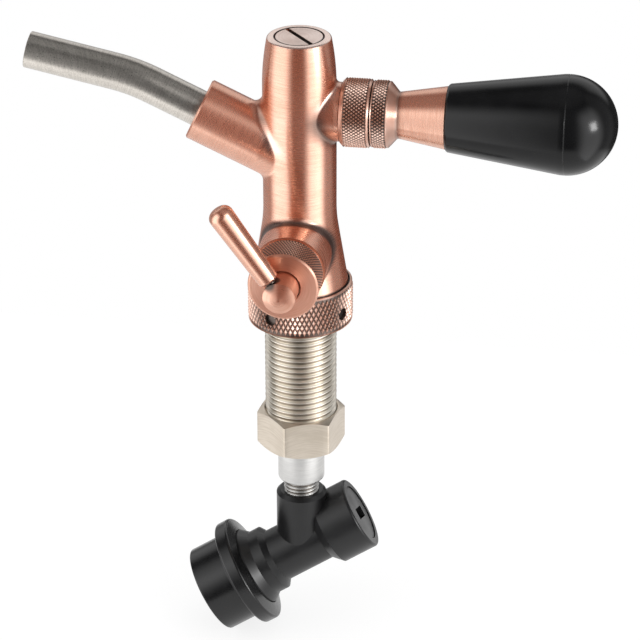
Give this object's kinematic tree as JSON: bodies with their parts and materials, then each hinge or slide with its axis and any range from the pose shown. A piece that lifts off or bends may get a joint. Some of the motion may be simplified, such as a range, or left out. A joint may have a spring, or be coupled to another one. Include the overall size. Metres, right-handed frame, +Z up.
{
  "type": "flow control beer faucet",
  "caption": "Upright beer tap with side flow lever, bent spout tube, black handle knob, threaded shank and ball-lock keg disconnect.",
  "frame": {"origin": "on the shank's axis, at the top face of the hex tail nut, where the free thread begins", "axes": "+Z up the shank and barrel, +X along the handle, -X towards the spout, -Y along the flow lever's shaft"},
  "size_m": [0.1781, 0.0583, 0.2028],
  "materials": {
    "copper_plate": "brushed antique copper plate over brass",
    "nickel_plate": "satin nickel plate",
    "satin_nickel": "satin nickel, flat ground",
    "turned_steel": "pale satin turned steel",
    "stainless": "satin stainless tube",
    "inner_steel": "machined stainless",
    "black_knob": "glossy black phenolic",
    "black_body": "satin black moulded plastic",
    "black_collar": "semi-gloss black moulded plastic",
    "rubber_ring": "black sealing rubber",
    "nylon": "natural nylon"
  },
  "bodies": {
    "tap": {"tap_body": "copper_plate", "front_plug": "copper_plate", "plug_gasket": "nylon", "spout_tube": "stainless", "spout_o_ring": "rubber_ring", "bonnet_nut": "copper_plate", "lever_seat": "nylon", "friction_washer": "nylon", "compensator_gland": "copper_plate", "tail_gasket": "rubber_ring", "shank": "nickel_plate", "adapter_gasket": "rubber_ring", "tail_adapter": "turned_steel", "flare_washer": "nylon", "disconnect_body": "black_body", "collar_spring": "inner_steel", "lock_balls": "inner_steel", "retaining_ring": "inner_steel", "poppet_spring": "inner_steel", "disconnect_plug": "black_body", "disconnect_plug_gasket": "rubber_ring"},
    "handle": {"handle_lever": "inner_steel", "lever_collar": "copper_plate", "handle_ferrule": "copper_plate", "knob_stud": "inner_steel", "handle_knob": "black_knob"},
    "piston": {"valve_piston": "inner_steel", "piston_o_ring": "rubber_ring", "valve_seal": "rubber_ring", "seal_nut": "inner_steel"},
    "flow_lever": {"flow_shaft": "copper_plate", "shaft_o_rings": "rubber_ring", "flow_lever_pin": "copper_plate"},
    "cone": {"compensator_cone": "nylon"},
    "nut_of_coupling": {"coupling_nut": "copper_plate"},
    "nut_of_tail": {"tail_nut": "satin_nickel"},
    "collar": {"release_collar": "black_collar"},
    "valve_poppet": {"poppet": "inner_steel", "poppet_seal": "rubber_ring"}
  },
  "joints": [
    {"name": "handle_tilt", "type": "hinge", "parent": "tap", "child": "handle", "pos_m": [0.014, 0, 0.10068], "axis": [0, -1, 0], "range_deg": [0, 25]},
    {"name": "piston_travel", "type": "slide", "parent": "tap", "child": "piston", "axis": [0, 0, -1], "range_m": [0, 0.00554]},
    {"name": "flow_lever_turn", "type": "hinge", "parent": "tap", "child": "flow_lever", "pos_m": [0, -0.0383, 0.05765], "axis": [0, -1, 0], "range_deg": [-35, 55]},
    {"name": "cone_travel", "type": "slide", "parent": "tap", "child": "cone", "axis": [0, 0, 1], "range_m": [-0.00143, 0.00225]},
    {"name": "coupling_nut_turn", "type": "hinge", "parent": "tap", "child": "nut_of_coupling", "pos_m": [0, 0, 0.0383], "axis": [0, 0, 1], "continuous": true},
    {"name": "tail_nut_turn", "type": "hinge", "parent": "tap", "child": "nut_of_tail", "pos_m": [0, 0, -0.0056], "axis": [0, 0, 1], "continuous": true},
    {"name": "collar_slide", "type": "slide", "parent": "tap", "child": "collar", "axis": [0.8515, 0.1578, 0.5], "range_m": [0, 0.0032], "stiffness_N_per_m": 1000, "springref_m": -0.0006, "deforming": ["collar_spring"]},
    {"name": "poppet_slide", "type": "slide", "parent": "tap", "child": "valve_poppet", "axis": [0.8515, 0.1578, 0.5], "range_m": [0, 0.0025], "stiffness_N_per_m": 800, "springref_m": -0.0004, "deforming": ["poppet_spring"]}
  ],
  "couplings": [
    {"joint": "handle_tilt", "follows": "piston_travel", "rad_per_m": 78.813},
    {"joint": "flow_lever_turn", "follows": "cone_travel", "rad_per_m": 427.35}
  ]
}
